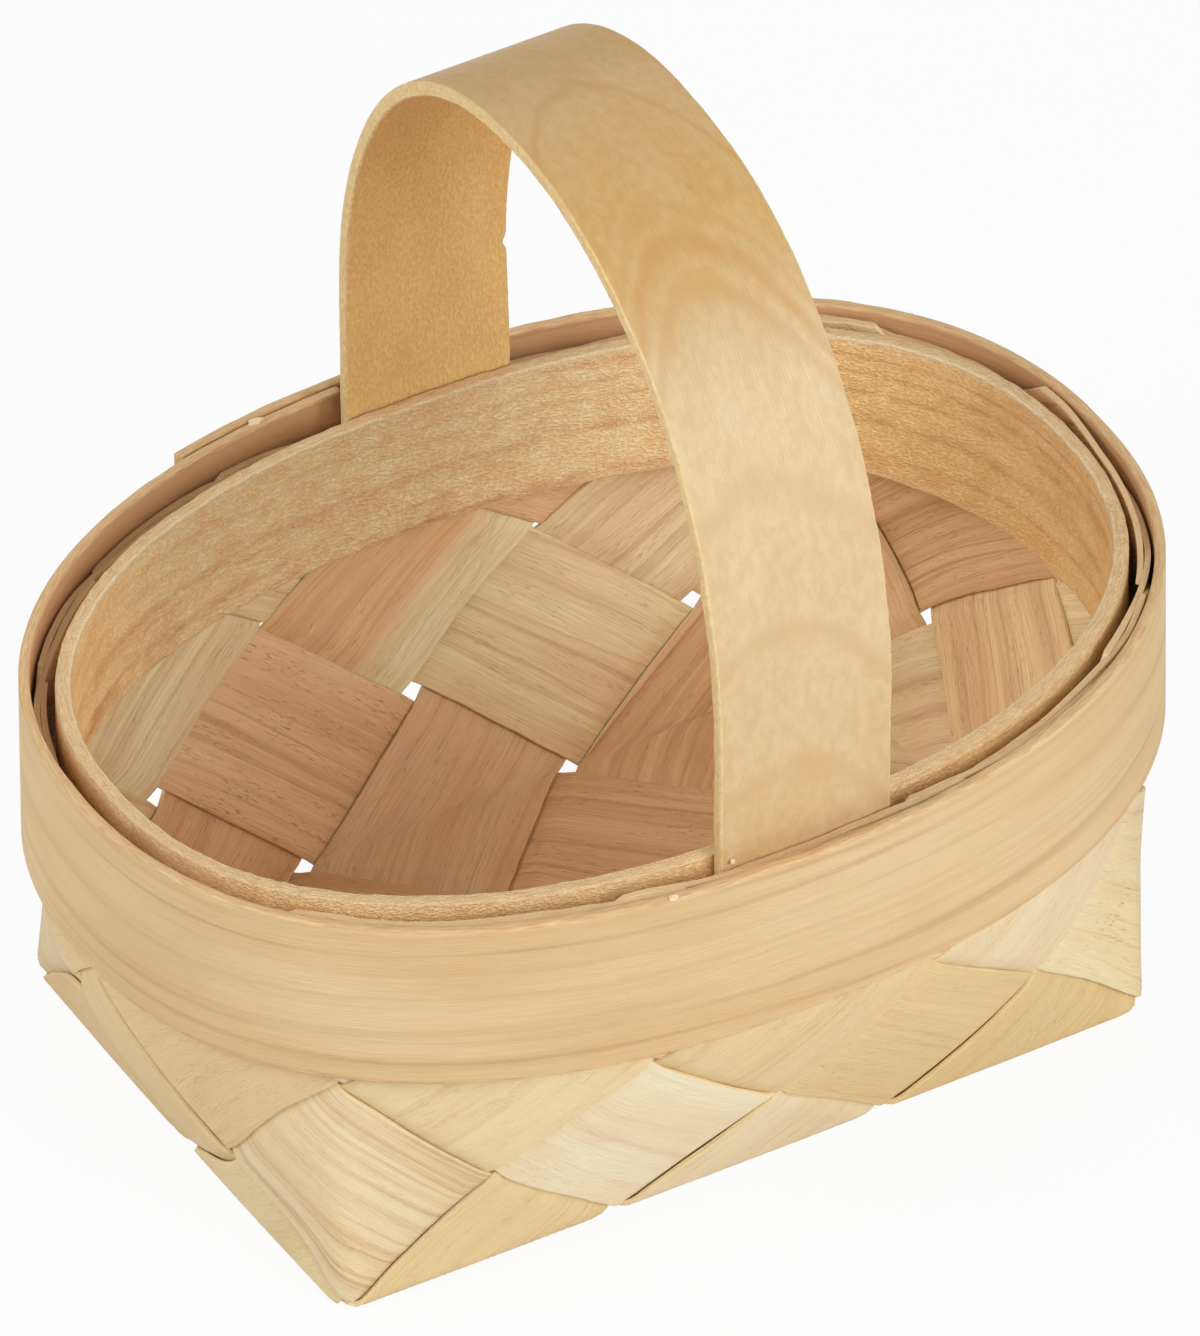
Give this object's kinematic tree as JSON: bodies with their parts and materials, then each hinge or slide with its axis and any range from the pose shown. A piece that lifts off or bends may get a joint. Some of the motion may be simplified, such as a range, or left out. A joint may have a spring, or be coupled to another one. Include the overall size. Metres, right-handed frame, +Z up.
{
  "type": "splint basket",
  "caption": "Small oval-rimmed basket plaited on the diagonal from flat wood splints, with a flat rectangular base, inner and outer rim hoops and a fixed bowed strap handle.",
  "frame": {"origin": "on the surface that the basket stands on, under the middle of its box", "axes": "+X along the rim's long axis, +Y across it, +Z up through the handle's bow"},
  "size_m": [0.1372, 0.1034, 0.1252],
  "materials": {
    "splint_wood": "bare planed veneer",
    "hoop_wood": "bare planed wood",
    "handle_wood": "bare sanded wood"
  },
  "bodies": {
    "root": {"forward_splint_1": "splint_wood", "forward_splint_2": "splint_wood", "forward_splint_3": "splint_wood", "forward_splint_4": "splint_wood", "forward_splint_5": "splint_wood", "backward_splint_1": "splint_wood", "backward_splint_2": "splint_wood", "backward_splint_3": "splint_wood", "backward_splint_4": "splint_wood", "backward_splint_5": "splint_wood", "outer_hoop": "hoop_wood", "inner_hoop": "hoop_wood", "handle": "handle_wood"}
  },
  "joints": []
}
